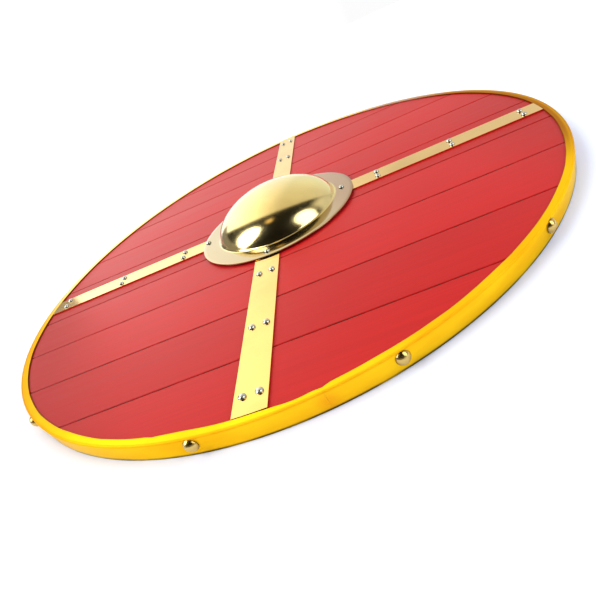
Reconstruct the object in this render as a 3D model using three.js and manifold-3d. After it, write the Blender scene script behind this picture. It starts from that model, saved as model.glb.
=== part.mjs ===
// A round viking shield that lies on its back, its domed boss up.
// Nine red planks lie edge to edge inside a yellow rim band. Four brass straps cross on the front,
// a brass boss covers the hand hole, and a grip bar runs up the back behind the near and far straps.
// Millimetres. +Z is the front of the board, +X runs along the planks towards the right-hand strap,
// and the origin is on the ground below the middle of the shield.
import * as THREE from "three";
import { mergeVertices } from "three/addons/utils/BufferGeometryUtils.js";
import Module from "manifold-3d";

const wasm = await Module();
wasm.setup();

// Driving dimensions: clearance between pieces that touch
const FIT = 0.3;

// Driving dimensions: rim band
const SHIELD_RADIUS = 305;
const RIM_SHEET = 1.4;
const RIM_LIP_WIDTH = 7;
const RIM_HEM_WIDTH = 5;
const RIM_CORNER = 1.6;
const RIM_HEM_CHAMFER = 0.8;
const GROUND_CLEARANCE = 0.2;
const ROUND_SEGMENTS = 72;

// Driving dimensions: board
const BOARD_THICKNESS = 10;
const PLANK_COUNT = 9;
const PLANK_CHAMFER = 0.8;
const HAND_HOLE_RADIUS = 58;

// Driving dimensions: straps
const STRAP_WIDTH = 26;
const STRAP_THICKNESS = 1.2;
const STRAP_UNDER_BOSS = 26;
const STRAP_END_GAP = 0.4;

// Driving dimensions: boss
const BOSS_DOME_RADIUS = 70.3;
const BOSS_DOME_RISE = 32.7;
const BOSS_BASE_SLOPE = 74;
const BOSS_FLANGE_WIDTH = 21.2;
const BOSS_SHEET = 1.4;
const BOSS_FILLET = 2.5;
const BOSS_SEGMENTS = 44;
const DOME_STEPS = 6;
const FILLET_STEPS = 2;
const FILLET_HALVINGS = 40;

// Driving dimensions: rivets
const RIVET_HEAD_RADIUS = 3;
const RIVET_HEAD_HEIGHT = 2;
const RIVET_SHANK_RADIUS = 1.6;
const RIVET_TAIL_RADIUS = 2.4;
const RIVET_TAIL_HEIGHT = 0.9;
const RIVET_PAIR_SPACING = 12.7;
const RIVET_ROWS = 3;
const RIVET_FIRST_ROW = 28.5;
const RIVET_LAST_ROW = 17.4;
const HEAD_SIDES = 10;
const SHANK_SIDES = 6;

// The shoulder of a round head, as shares of its radius and height
const HEAD_SHOULDER = { out: Math.SQRT1_2, up: 0.75 };

// Driving dimensions: rim nails
const FAR_NAIL_COUNT = 4;
const NAIL_HEAD_RADIUS = 5.5;
const NAIL_HEAD_HEIGHT = 3.6;
const NAIL_SHANK_RADIUS = 1.5;
const NAIL_LENGTH = 20;
const NAIL_TIP = 4;

// Driving dimensions: grip bar
const GRIP_WIDTH = 30;
const GRIP_THICKNESS = 3.6;
const GRIP_END_GAP = 6;
const GRIP_HANDLE_DEPTH = 17;
const GRIP_HANDLE_END_GAP = 3;
const GRIP_HANDLE_SLOPE = 12;
const GRIP_ROUND_STEPS = 6;

// Each strap was laid by hand: a drift is its shift sideways and a lean its turn in degrees. The
// inset of its boss rivet is a share of the flange's flat, from the flange's edge.
const STRAPS = [
  { name: "right", angle: 0, lean: 0, drift: 0, rivetInset: 0.695, backed: false },
  { name: "far", angle: 90, lean: -1.7, drift: 4, rivetInset: 0.481, backed: true },
  { name: "left", angle: 180, lean: 0, drift: 0, rivetInset: 0.267, backed: false },
  { name: "near", angle: -90, lean: 0, drift: -6.8, rivetInset: 0.481, backed: true },
];
const MIDDLE_ROW_DRIFT = 3;

// The nails at the near side were set by hand at these angles in degrees. The far nails share out the
// rest of the rim evenly.
const NEAR_NAILS = [-137, -99.8, -71.7, -43.4];

// Heights of the faces that carry one another, from the ground up. The rivet tails and the grip bar
// stay inside the rim band, so that the shield lies on the band's hem.
const GRIP_BACK = GROUND_CLEARANCE + RIVET_TAIL_HEIGHT + FIT;
const GRIP_FRONT = GRIP_BACK + GRIP_THICKNESS;
const BOARD_BACK = GRIP_FRONT + FIT;
const BOARD_FRONT = BOARD_BACK + BOARD_THICKNESS;
const BOARD_MIDDLE = (BOARD_FRONT + BOARD_BACK) / 2;
const RIM_HEIGHT = BOARD_FRONT + FIT + RIM_SHEET;
const STRAP_BACK = BOARD_FRONT + FIT;
const STRAP_FRONT = STRAP_BACK + STRAP_THICKNESS;
const FLANGE_BACK = STRAP_FRONT + FIT;
const FLANGE_FRONT = FLANGE_BACK + BOSS_SHEET;

// Widths that follow from the sizes above
const BOSS_FLANGE_RADIUS = BOSS_DOME_RADIUS + BOSS_FLANGE_WIDTH;
const BOSS_FLANGE_FLAT = BOSS_FLANGE_WIDTH - BOSS_FILLET;
const BOARD_RADIUS = SHIELD_RADIUS - RIM_SHEET - FIT;
const LIP_RADIUS = SHIELD_RADIUS - RIM_LIP_WIDTH;
const PLANK_WIDTH = (2 * BOARD_RADIUS) / PLANK_COUNT;
const STRAP_START = BOSS_FLANGE_RADIUS - STRAP_UNDER_BOSS;
const STRAP_END = LIP_RADIUS - STRAP_END_GAP;

const PAINTED_WOOD = { color: 0xb3211f, roughness: 0.42, metalness: 0 };
const YELLOW_BAND = { color: 0xf0a806, roughness: 0.3, metalness: 0.2 };
const STRAP_BRASS = { color: 0xe3cd82, roughness: 0.25, metalness: 1 };
const BOSS_BRASS = { color: 0xd9b860, roughness: 0.12, metalness: 1 };
const RIVET_STEEL = { color: 0xc4c6c2, roughness: 0.25, metalness: 1 };
const NAIL_BRASS = { color: 0xb99552, roughness: 0.2, metalness: 1 };
const GRIP_WOOD = { color: 0x8a6238, roughness: 0.6, metalness: 0 };

const shield = new THREE.Group();

// A solid for cutting and joining, made from a closed geometry.
function solidFrom(geometry) {
  const bare = geometry.clone();
  bare.deleteAttribute("normal");
  bare.deleteAttribute("uv");
  const merged = mergeVertices(bare, 1e-4);
  return new wasm.Manifold(
    new wasm.Mesh({
      numProp: 3,
      vertProperties: new Float32Array(merged.attributes.position.array),
      triVerts: new Uint32Array(merged.index.array),
    }),
  );
}

// The geometry of a solid, with flat faces.
function geometryFrom(solid) {
  const { vertProperties, triVerts } = solid.getMesh();
  const indexed = new THREE.BufferGeometry();
  indexed.setAttribute("position", new THREE.BufferAttribute(vertProperties, 3));
  indexed.setIndex(new THREE.BufferAttribute(triVerts, 1));
  const geometry = indexed.toNonIndexed();
  geometry.computeVertexNormals();
  return geometry;
}

function addMesh(name, geometry, finish) {
  const mesh = new THREE.Mesh(geometry, new THREE.MeshStandardMaterial(finish));
  mesh.name = name;
  shield.add(mesh);
  return mesh;
}

// A solid of revolution about +Z from points [radius, height] that run from top to bottom outside.
function turned(points, segments) {
  const profile = points.map(([radius, height]) => new THREE.Vector2(radius, height)).reverse();
  const geometry = new THREE.LatheGeometry(profile, segments);
  geometry.rotateX(Math.PI / 2);
  return geometry;
}

// An upright cylinder between two heights.
function post(radius, bottom, top, sides) {
  const geometry = new THREE.CylinderGeometry(radius, radius, top - bottom, sides);
  geometry.rotateX(Math.PI / 2);
  geometry.translate(0, 0, (top + bottom) / 2);
  return geometry;
}

function radians(degrees) {
  return THREE.MathUtils.degToRad(degrees);
}

// Straps: where a point along and across a strap lies on the board
function strapPlace(strap, along, across) {
  const turn = radians(strap.angle + strap.lean);
  const place = new THREE.Vector2(along, across + strap.drift);
  return place.rotateAround(new THREE.Vector2(0, 0), turn);
}

// Distances of a strap's rivet pairs from the middle of the shield
function rowPlaces() {
  const first = BOSS_FLANGE_RADIUS + RIVET_FIRST_ROW;
  const last = STRAP_END - RIVET_LAST_ROW;
  return Array.from({ length: RIVET_ROWS }, (_, row) => {
    const isEnd = row === 0 || row === RIVET_ROWS - 1;
    return first + ((last - first) * row) / (RIVET_ROWS - 1) + (isEnd ? 0 : MIDDLE_ROW_DRIFT);
  });
}

// Rivets of one strap: pairs along it, and one through the boss flange on its middle line
function strapRivets(strap) {
  const pairs = rowPlaces().flatMap((along, row) =>
    [1, -1].map((side) => ({
      name: `rivet_${strap.name}_${2 * row + (side > 0 ? 1 : 2)}`,
      along,
      across: (side * RIVET_PAIR_SPACING) / 2,
      seat: STRAP_FRONT + FIT,
    })),
  );
  const bossRivet = {
    name: `boss_rivet_${strap.name}`,
    along: BOSS_FLANGE_RADIUS - strap.rivetInset * BOSS_FLANGE_FLAT,
    across: 0,
    seat: FLANGE_FRONT + FIT,
  };
  return [...pairs, bossRivet].map((rivet) => ({
    ...rivet,
    place: strapPlace(strap, rivet.along, rivet.across),
    clench: (strap.backed ? GRIP_BACK : BOARD_BACK) - FIT,
  }));
}

const rivets = STRAPS.flatMap(strapRivets);

function rivetHole(place) {
  const hole = post(RIVET_SHANK_RADIUS + FIT, -RIM_HEIGHT, FLANGE_FRONT + FIT, SHANK_SIDES);
  return solidFrom(hole.translate(place.x, place.y, 0));
}

function cutHoles(solid, places) {
  return places.reduce((left, place) => left.subtract(rivetHole(place)), solid);
}

// Nails: each stands on the middle of the board's edge and points at the middle of the shield
const lastNearNail = NEAR_NAILS.at(-1);
const farNailGap = (360 - (lastNearNail - NEAR_NAILS[0])) / (FAR_NAIL_COUNT + 1);
const farNails = Array.from(
  { length: FAR_NAIL_COUNT },
  (_, index) => lastNearNail + farNailGap * (index + 1),
);
const nails = [...NEAR_NAILS, ...farNails].map((angle, index) => ({
  name: `rim_nail_${index + 1}`,
  angle: radians(angle),
}));

function nailHole(angle) {
  const hole = new THREE.CylinderGeometry(
    NAIL_SHANK_RADIUS + FIT,
    NAIL_SHANK_RADIUS + FIT,
    2 * (NAIL_LENGTH + FIT),
    SHANK_SIDES,
  );
  hole.rotateZ(Math.PI / 2);
  hole.translate(SHIELD_RADIUS, 0, BOARD_MIDDLE);
  hole.rotateZ(angle);
  return solidFrom(hole);
}

// Planks: strips of the round board with chamfered edges on the front, cut for hand, rivets and nails
function plankStrip(index) {
  const low = -BOARD_RADIUS + index * PLANK_WIDTH + FIT / 2;
  const high = low + PLANK_WIDTH - FIT;
  const section = new THREE.Shape();
  section.moveTo(low, BOARD_BACK);
  section.lineTo(high, BOARD_BACK);
  section.lineTo(high, BOARD_FRONT - PLANK_CHAMFER);
  section.lineTo(high - PLANK_CHAMFER, BOARD_FRONT);
  section.lineTo(low + PLANK_CHAMFER, BOARD_FRONT);
  section.lineTo(low, BOARD_FRONT - PLANK_CHAMFER);
  section.closePath();
  const strip = new THREE.ExtrudeGeometry(section, { depth: 2 * SHIELD_RADIUS, bevelEnabled: false });
  strip.translate(0, 0, -SHIELD_RADIUS);
  strip.rotateX(Math.PI / 2);
  strip.rotateZ(Math.PI / 2);
  return solidFrom(strip);
}

function addPlanks() {
  const round = solidFrom(post(BOARD_RADIUS, 0, RIM_HEIGHT, ROUND_SEGMENTS));
  const handHole = solidFrom(post(HAND_HOLE_RADIUS, 0, RIM_HEIGHT, BOSS_SEGMENTS));
  for (let index = 0; index < PLANK_COUNT; index += 1) {
    let plank = plankStrip(index).intersect(round).subtract(handHole);
    plank = cutHoles(plank, rivets.map(({ place }) => place));
    plank = nails.reduce((left, { angle }) => left.subtract(nailHole(angle)), plank);
    // The hand hole is wider than the middle plank and cuts it in two.
    const pieces = plank.decompose();
    pieces.sort((a, b) => a.boundingBox().min[0] - b.boundingBox().min[0]);
    const ends = pieces.length > 1 ? ["_left", "_right"] : [""];
    pieces.forEach((piece, side) => {
      addMesh(`plank_${index + 1}${ends[side]}`, geometryFrom(piece), PAINTED_WOOD);
    });
  }
}

// Rim band: a channel with a lip over the board's front and a hem that the shield lies on
function addRim() {
  const wall = SHIELD_RADIUS - RIM_SHEET;
  const corner = RIM_CORNER * (1 - Math.SQRT1_2);
  const channel = [
    [LIP_RADIUS, RIM_HEIGHT],
    [SHIELD_RADIUS - RIM_CORNER, RIM_HEIGHT],
    [SHIELD_RADIUS - corner, RIM_HEIGHT - corner],
    [SHIELD_RADIUS, RIM_HEIGHT - RIM_CORNER],
    [SHIELD_RADIUS, RIM_HEM_CHAMFER],
    [SHIELD_RADIUS - RIM_HEM_CHAMFER, 0],
    [SHIELD_RADIUS - RIM_HEM_WIDTH, 0],
    [SHIELD_RADIUS - RIM_HEM_WIDTH, RIM_SHEET],
    [wall, RIM_SHEET],
    [wall, RIM_HEIGHT - RIM_SHEET],
    [LIP_RADIUS, RIM_HEIGHT - RIM_SHEET],
    [LIP_RADIUS, RIM_HEIGHT],
  ];
  const ring = solidFrom(turned(channel, ROUND_SEGMENTS));
  const drilled = nails.reduce((left, { angle }) => left.subtract(nailHole(angle)), ring);
  addMesh("rim_band", geometryFrom(drilled), YELLOW_BAND);
}

function addStraps() {
  const length = SHIELD_RADIUS - STRAP_START;
  const reach = solidFrom(post(STRAP_END, 0, RIM_HEIGHT, ROUND_SEGMENTS));
  for (const strap of STRAPS) {
    const bar = new THREE.BoxGeometry(length, STRAP_WIDTH, STRAP_THICKNESS);
    bar.translate(STRAP_START + length / 2, strap.drift, (STRAP_FRONT + STRAP_BACK) / 2);
    bar.rotateZ(radians(strap.angle + strap.lean));
    // A strap's end follows the curve of the lip.
    const trimmed = solidFrom(bar).intersect(reach);
    const drilled = cutHoles(trimmed, strapRivets(strap).map(({ place }) => place));
    addMesh(`strap_${strap.name}`, geometryFrom(drilled), STRAP_BRASS);
  }
}

// The dome's side is the upper part of an ellipse that is cut off where it leaves the flange at the
// base slope. How deep the ellipse's middle lies below the flange is a share of its half height.
function domeEllipse() {
  const steepness = BOSS_DOME_RADIUS * Math.tan(radians(BOSS_BASE_SLOPE));
  const share = BOSS_DOME_RISE / (steepness - BOSS_DOME_RISE);
  const halfHeight = BOSS_DOME_RISE / (1 - share);
  const halfWidth = BOSS_DOME_RADIUS / Math.sqrt(1 - share ** 2);
  return { halfWidth, halfHeight, middle: FLANGE_FRONT - share * halfHeight };
}

// The place and outward normal of the dome's side at an angle round that ellipse.
function domePoint(angle) {
  const { halfWidth, halfHeight, middle } = domeEllipse();
  const normal = new THREE.Vector2(halfHeight * Math.cos(angle), halfWidth * Math.sin(angle));
  const place = new THREE.Vector2(
    halfWidth * Math.cos(angle),
    middle + halfHeight * Math.sin(angle),
  );
  return { place, normal: normal.normalize() };
}

// The angle where the fillet of the flange runs into the dome without a crease, by halving.
function filletAngle() {
  let low = 0;
  let high = Math.PI / 4;
  for (let step = 0; step < FILLET_HALVINGS; step += 1) {
    const angle = (low + high) / 2;
    const { place, normal } = domePoint(angle);
    const centreHeight = place.y + BOSS_FILLET * normal.y - FLANGE_FRONT;
    if (centreHeight > BOSS_FILLET) high = angle;
    else low = angle;
  }
  return low;
}

// Points of the boss's upper face with their normals, from the top of the dome to the flange's edge
function bossFace() {
  const start = filletAngle();
  const face = [];
  for (let step = 0; step <= DOME_STEPS; step += 1) {
    face.push(domePoint(Math.PI / 2 + ((start - Math.PI / 2) * step) / DOME_STEPS));
  }
  face[0].place.x = 0;
  face[0].normal.set(0, 1);
  const { place, normal } = domePoint(start);
  const centre = place.clone().addScaledVector(normal, BOSS_FILLET);
  const away = normal.clone().negate().angle();
  for (let step = 1; step <= FILLET_STEPS; step += 1) {
    const angle = away + ((1.5 * Math.PI - away) * step) / FILLET_STEPS;
    const ray = new THREE.Vector2(Math.cos(angle), Math.sin(angle));
    face.push({
      place: centre.clone().addScaledVector(ray, BOSS_FILLET),
      normal: ray.clone().negate(),
    });
  }
  face.push({
    place: new THREE.Vector2(BOSS_FLANGE_RADIUS, FLANGE_FRONT),
    normal: new THREE.Vector2(0, 1),
  });
  return face;
}

function addBoss() {
  const outside = bossFace();
  const inside = outside
    .map(({ place, normal }) => place.clone().addScaledVector(normal, -BOSS_SHEET))
    .reverse();
  const profile = [...outside.map(({ place }) => place), ...inside].map(({ x, y }) => [x, y]);
  const shell = solidFrom(turned(profile, BOSS_SEGMENTS));
  addMesh("boss", geometryFrom(cutHoles(shell, rivets.map(({ place }) => place))), BOSS_BRASS);
}

// A low round head that stands on its flat face at height zero
function roundHead(radius, height, sides) {
  return turned(
    [
      [0, height],
      [radius * HEAD_SHOULDER.out, height * HEAD_SHOULDER.up],
      [radius, 0],
      [0, 0],
    ],
    sides,
  );
}

function addRivets() {
  for (const { name, place, seat, clench } of rivets) {
    const head = solidFrom(roundHead(RIVET_HEAD_RADIUS, RIVET_HEAD_HEIGHT, HEAD_SIDES));
    const shank = solidFrom(post(RIVET_SHANK_RADIUS, clench - seat, RIVET_HEAD_HEIGHT / 2, SHANK_SIDES));
    const tail = solidFrom(
      post(RIVET_TAIL_RADIUS, clench - seat - RIVET_TAIL_HEIGHT, clench - seat, SHANK_SIDES),
    );
    const rivet = addMesh(name, geometryFrom(head.add(shank).add(tail)), RIVET_STEEL);
    rivet.position.set(place.x, place.y, seat);
  }
}

function addNails() {
  for (const { name, angle } of nails) {
    const head = solidFrom(roundHead(NAIL_HEAD_RADIUS, NAIL_HEAD_HEIGHT, HEAD_SIDES));
    const shank = turned(
      [
        [0, NAIL_HEAD_HEIGHT / 2],
        [NAIL_SHANK_RADIUS, NAIL_HEAD_HEIGHT / 2],
        [NAIL_SHANK_RADIUS, NAIL_TIP - NAIL_LENGTH],
        [0, -NAIL_LENGTH],
      ],
      SHANK_SIDES,
    );
    const geometry = geometryFrom(head.add(solidFrom(shank)));
    geometry.rotateY(Math.PI / 2);
    const nail = addMesh(name, geometry, NAIL_BRASS);
    const seat = SHIELD_RADIUS + FIT;
    nail.position.set(seat * Math.cos(angle), seat * Math.sin(angle), BOARD_MIDDLE);
    nail.rotation.z = angle;
  }
}

// Grip bar: a flat batten behind the board with a rounded handle on it at the hand hole
function addGrip() {
  const length = 2 * (LIP_RADIUS - GRIP_END_GAP);
  const batten = new THREE.BoxGeometry(GRIP_WIDTH, length, GRIP_THICKNESS);
  batten.translate(0, 0, (GRIP_BACK + GRIP_FRONT) / 2);
  // The handle's section is half round on the side that faces the boss.
  const half = GRIP_WIDTH / 2;
  const section = new THREE.Shape();
  section.moveTo(-half, GRIP_BACK);
  section.lineTo(half, GRIP_BACK);
  const crown = GRIP_HANDLE_DEPTH - GRIP_THICKNESS;
  for (let step = 0; step <= GRIP_ROUND_STEPS; step += 1) {
    const angle = (Math.PI * step) / GRIP_ROUND_STEPS;
    section.lineTo(half * Math.cos(angle), GRIP_FRONT + crown * Math.sin(angle));
  }
  section.closePath();
  const reach = HAND_HOLE_RADIUS - GRIP_HANDLE_END_GAP;
  const rail = new THREE.ExtrudeGeometry(section, { depth: 2 * reach, bevelEnabled: false });
  rail.translate(0, 0, -reach);
  rail.rotateX(Math.PI / 2);
  // Its ends slope down to the batten.
  const slope = new THREE.Shape([
    new THREE.Vector2(-reach, GRIP_BACK),
    new THREE.Vector2(reach, GRIP_BACK),
    new THREE.Vector2(reach, GRIP_FRONT),
    new THREE.Vector2(reach - GRIP_HANDLE_SLOPE, GRIP_BACK + GRIP_HANDLE_DEPTH),
    new THREE.Vector2(GRIP_HANDLE_SLOPE - reach, GRIP_BACK + GRIP_HANDLE_DEPTH),
    new THREE.Vector2(-reach, GRIP_FRONT),
  ]);
  const wedge = new THREE.ExtrudeGeometry(slope, { depth: GRIP_WIDTH, bevelEnabled: false });
  wedge.translate(0, 0, -GRIP_WIDTH / 2);
  wedge.rotateX(Math.PI / 2);
  wedge.rotateZ(Math.PI / 2);
  const handle = solidFrom(rail).intersect(solidFrom(wedge));
  const bar = cutHoles(solidFrom(batten).add(handle), rivets.map(({ place }) => place));
  addMesh("grip_bar", geometryFrom(bar), GRIP_WOOD);
}

addPlanks();
addRim();
addStraps();
addBoss();
addRivets();
addNails();
addGrip();

export default shield;
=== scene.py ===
"""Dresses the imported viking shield: board, rim band, nails, straps, rivets, boss and grip bar.

Metres, in the frame of the CAD model: +Z comes out of the front of the board, +X runs along the
planks towards the right-hand strap, and the shield lies on its rim at height zero.
"""

import logging
import math
from collections.abc import Callable
from dataclasses import dataclass, field
from enum import Enum

import bpy
from mathutils import Matrix, Vector, noise


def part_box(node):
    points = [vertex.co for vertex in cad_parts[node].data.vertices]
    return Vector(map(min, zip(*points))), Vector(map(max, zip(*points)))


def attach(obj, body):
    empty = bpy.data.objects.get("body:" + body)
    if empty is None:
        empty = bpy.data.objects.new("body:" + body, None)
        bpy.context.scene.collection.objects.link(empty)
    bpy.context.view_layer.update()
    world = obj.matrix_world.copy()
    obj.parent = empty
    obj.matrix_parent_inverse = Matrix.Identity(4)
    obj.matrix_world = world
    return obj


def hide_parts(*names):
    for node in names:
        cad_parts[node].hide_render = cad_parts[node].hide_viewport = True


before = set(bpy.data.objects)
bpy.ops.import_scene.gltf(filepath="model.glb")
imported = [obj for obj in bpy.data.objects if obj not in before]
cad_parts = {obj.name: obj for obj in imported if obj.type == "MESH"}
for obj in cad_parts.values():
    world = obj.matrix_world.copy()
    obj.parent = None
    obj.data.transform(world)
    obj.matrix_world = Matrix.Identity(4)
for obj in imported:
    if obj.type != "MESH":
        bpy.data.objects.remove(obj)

MM = 0.001
UP = Vector((0, 0, 1))
RIM_RADIUS = 305 * MM

log = logging.getLogger("shield")


class Pick(Enum):
    """Kinds of mesh element that an edit-mode operator acts on."""

    VERTICES = (True, False, False)
    EDGES = (False, True, False)
    FACES = (False, False, True)


class Carve(Enum):
    """Ways in which one solid shapes another."""

    CUT = "DIFFERENCE"
    KEEP_SHARED = "INTERSECT"
    JOIN = "UNION"


class Slot(Enum):
    """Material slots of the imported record."""

    BOARD = "board_paint"
    RIM = "rim_yellow"
    STRAP = "strap_brass"
    BOSS = "boss_brass"
    RIVET = "rivet_steel"
    NAIL = "nail_brass"
    GRIP = "grip_wood"


class Side(Enum):
    """The four straps by where they point, with their angle in degrees."""

    RIGHT = 0
    FAR = 90
    LEFT = 180
    NEAR = -90

    @property
    def word(self) -> str:
        """The side as node names have it."""
        return self.name.lower()


class Bench:
    """Modelling steps that every piece is made with."""

    @staticmethod
    def clear() -> None:
        """Leaves edit mode and deselects everything."""
        if bpy.context.object and bpy.context.object.mode != "OBJECT":
            bpy.ops.object.mode_set(mode="OBJECT")
        bpy.ops.object.select_all(action="DESELECT")

    @staticmethod
    def only(piece: bpy.types.Object) -> None:
        """Makes one piece the selected and active object."""
        Bench.clear()
        piece.select_set(True)
        bpy.context.view_layer.objects.active = piece

    @staticmethod
    def settle(name: str) -> bpy.types.Object:
        """Names the active object and puts its place into its mesh.

        Args:
            name: The piece's name.

        Returns:
            The piece, at the origin, unturned and unscaled.
        """
        piece = bpy.context.object
        piece.name = name
        piece.data.name = name
        bpy.ops.object.transform_apply(location=True, rotation=True, scale=True)
        return piece

    @staticmethod
    def bar(name: str, low: Vector, high: Vector) -> bpy.types.Object:
        """Adds a plain bar between two corners.

        Args:
            name: The piece's name.
            low: Its lowest corner.
            high: Its highest corner.

        Returns:
            The bar.
        """
        Bench.clear()
        bpy.ops.mesh.primitive_cube_add(size=1, location=(low + high) / 2, scale=high - low)
        return Bench.settle(name)

    @staticmethod
    def post(
        name: str, radius: float, low: Vector, high: Vector, sides: int = 16
    ) -> bpy.types.Object:
        """Adds a round post between two points.

        Args:
            name: The piece's name.
            radius: The post's radius.
            low: The middle of one end.
            high: The middle of the other end.
            sides: How many sides stand for the round.

        Returns:
            The post.
        """
        Bench.clear()
        axis = high - low
        bpy.ops.mesh.primitive_cylinder_add(
            vertices=sides,
            radius=radius,
            depth=axis.length,
            location=(low + high) / 2,
            rotation=axis.to_track_quat("Z", "Y").to_euler(),
        )
        return Bench.settle(name)

    @staticmethod
    def outline(name: str, points: list[tuple[float, float]], closed: bool) -> bpy.types.Object:
        """Draws a profile in the XZ plane by extruding one vertex from point to point.

        Args:
            name: The piece's name.
            points: Radius and height of each point in turn.
            closed: Whether the last point is joined to the first and the inside filled.

        Returns:
            The profile, left selected in edit mode.
        """
        Bench.clear()
        bpy.ops.mesh.primitive_plane_add(size=MM)
        piece = Bench.settle(name)
        bpy.ops.object.mode_set(mode="EDIT")
        bpy.context.tool_settings.mesh_select_mode = Pick.VERTICES.value
        bpy.ops.mesh.select_all(action="SELECT")
        bpy.ops.mesh.merge(type="CENTER")
        first = Vector((points[0][0], 0, points[0][1]))
        bpy.ops.transform.translate(value=first)
        for (radius, height), (next_radius, next_height) in zip(points, points[1:]):
            step = (next_radius - radius, 0, next_height - height)
            bpy.ops.mesh.extrude_region_move(TRANSFORM_OT_translate={"value": step})
        bpy.ops.mesh.select_all(action="SELECT")
        if closed:
            bpy.ops.mesh.edge_face_add()
        return piece

    @staticmethod
    def turn(piece: bpy.types.Object, steps: int, start: float = 0, sweep: float = 360) -> None:
        """Spins the selected profile about +Z into a closed solid.

        Args:
            piece: The profile, selected in edit mode.
            steps: How many steps stand for the round.
            start: The angle that the spin starts from, in degrees.
            sweep: How far it goes, in degrees.
        """
        if start:
            bpy.ops.object.mode_set(mode="OBJECT")
            piece.data.transform(Matrix.Rotation(math.radians(start), 4, "Z"))
            bpy.ops.object.mode_set(mode="EDIT")
            bpy.ops.mesh.select_all(action="SELECT")
        bpy.ops.mesh.spin(
            steps=steps, angle=-math.radians(sweep), center=(0, 0, 0), axis=(0, 0, 1)
        )
        bpy.ops.mesh.select_all(action="SELECT")
        bpy.ops.mesh.remove_doubles(threshold=0.002 * MM)
        bpy.ops.mesh.normals_make_consistent(inside=False)
        bpy.ops.object.mode_set(mode="OBJECT")

    @staticmethod
    def pick(
        piece: bpy.types.Object, kind: Pick, test: Callable[[Vector, Vector], bool]
    ) -> None:
        """Selects mesh elements by where they are and stays in edit mode.

        Args:
            piece: The piece to work on.
            kind: The kind of element.
            test: Takes an element's middle and its normal, or an edge's direction.
        """
        Bench.only(piece)
        mesh = piece.data
        for parts in (mesh.vertices, mesh.edges, mesh.polygons):
            parts.foreach_set("select", [False] * len(parts))
        if kind is Pick.VERTICES:
            for vertex in mesh.vertices:
                vertex.select = test(vertex.co, vertex.normal)
        elif kind is Pick.EDGES:
            for edge in mesh.edges:
                one, other = (mesh.vertices[index].co for index in edge.vertices)
                edge.select = test((one + other) / 2, (other - one).normalized())
        else:
            for face in mesh.polygons:
                face.select = test(face.center, face.normal)
        bpy.context.tool_settings.mesh_select_mode = kind.value
        bpy.ops.object.mode_set(mode="EDIT")

    @staticmethod
    def work(
        piece: bpy.types.Object,
        kind: Pick,
        test: Callable[[Vector, Vector], bool],
        operator: Callable,
        **settings: object,
    ) -> None:
        """Runs one edit-mode operator on picked elements.

        Args:
            piece: The piece to work on.
            kind: The kind of element.
            test: Takes an element's middle and its normal, or an edge's direction.
            operator: The operator from bpy.ops.
            **settings: The operator's settings.
        """
        Bench.pick(piece, kind, test)
        operator(**settings)
        bpy.ops.object.mode_set(mode="OBJECT")

    @staticmethod
    def carve(piece: bpy.types.Object, tool: bpy.types.Object, how: Carve) -> None:
        """Shapes a piece with another solid, which is kept.

        Args:
            piece: The piece to shape.
            tool: The solid that shapes it.
            how: Whether the tool is cut away, shared or joined.
        """
        Bench.only(piece)
        modifier = piece.modifiers.new(how.name, "BOOLEAN")
        modifier.operation = how.value
        modifier.object = tool
        modifier.solver = "EXACT"
        bpy.ops.object.modifier_apply(modifier=modifier.name)

    @staticmethod
    def join(name: str, parts: list[bpy.types.Object]) -> bpy.types.Object:
        """Makes one object of several.

        Args:
            name: The new object's name.
            parts: The objects that go into it.

        Returns:
            The one object.
        """
        Bench.only(parts[0])
        for part in parts[1:]:
            part.select_set(True)
        bpy.ops.object.join()
        return Bench.settle(name)

    @staticmethod
    def twin(master: bpy.types.Object, name: str) -> bpy.types.Object:
        """Copies a piece with a mesh of its own.

        Args:
            master: The piece to copy.
            name: The copy's name.

        Returns:
            The copy.
        """
        Bench.only(master)
        bpy.ops.object.duplicate(linked=False)
        return Bench.settle(name)

    @staticmethod
    def discard(*tools: bpy.types.Object) -> None:
        """Deletes solids that only served to shape others."""
        Bench.clear()
        for tool in tools:
            tool.select_set(True)
        bpy.ops.object.delete()

    @staticmethod
    def warp(piece: bpy.types.Object, rule: Callable[[Vector], Vector]) -> None:
        """Moves every vertex by a rule, for the unevenness of handwork.

        Args:
            piece: The piece to warp.
            rule: Takes a vertex's place and gives its new place.
        """
        for vertex in piece.data.vertices:
            vertex.co = rule(vertex.co.copy())

    @staticmethod
    def smooth(piece: bpy.types.Object, angle: float = 35) -> None:
        """Shades a piece smooth up to an angle between faces, in degrees."""
        Bench.only(piece)
        bpy.ops.object.shade_smooth_by_angle(angle=math.radians(angle))

    @staticmethod
    def soften(piece: bpy.types.Object, width: float, segments: int = 2) -> None:
        """Rounds every sharp edge of a piece by a width."""
        Bench.only(piece)
        modifier = piece.modifiers.new("softened_edges", "BEVEL")
        modifier.width = width
        modifier.segments = segments
        modifier.limit_method = "ANGLE"
        modifier.angle_limit = math.radians(50)
        bpy.ops.object.modifier_apply(modifier=modifier.name)

    @staticmethod
    def flatten_shading(piece: bpy.types.Object) -> None:
        """Lets the large faces set the shading, so that rounded edges don't bend it."""
        Bench.only(piece)
        modifier = piece.modifiers.new("weighted_normals", "WEIGHTED_NORMAL")
        modifier.keep_sharp = True
        modifier.weight = 80
        bpy.ops.object.modifier_apply(modifier=modifier.name)


def wander(place: Vector, length: float, seed: float) -> float:
    """Gives a smooth uneven value along a piece.

    Args:
        place: The place on the piece.
        length: How far apart its ups and downs are.
        seed: Sets one piece's values apart from another's.

    Returns:
        A value of about -1 to 1.
    """
    return noise.noise(place / length + Vector((seed * 7.3, seed * 3.1, seed * 5.7)))


def lengthwise(middle: Vector, way: Vector) -> bool:
    """Whether an edge runs along X."""
    return abs(way.x) > 0.9


def anywhere(middle: Vector, way: Vector) -> bool:
    """Picks every element."""
    return True


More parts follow.
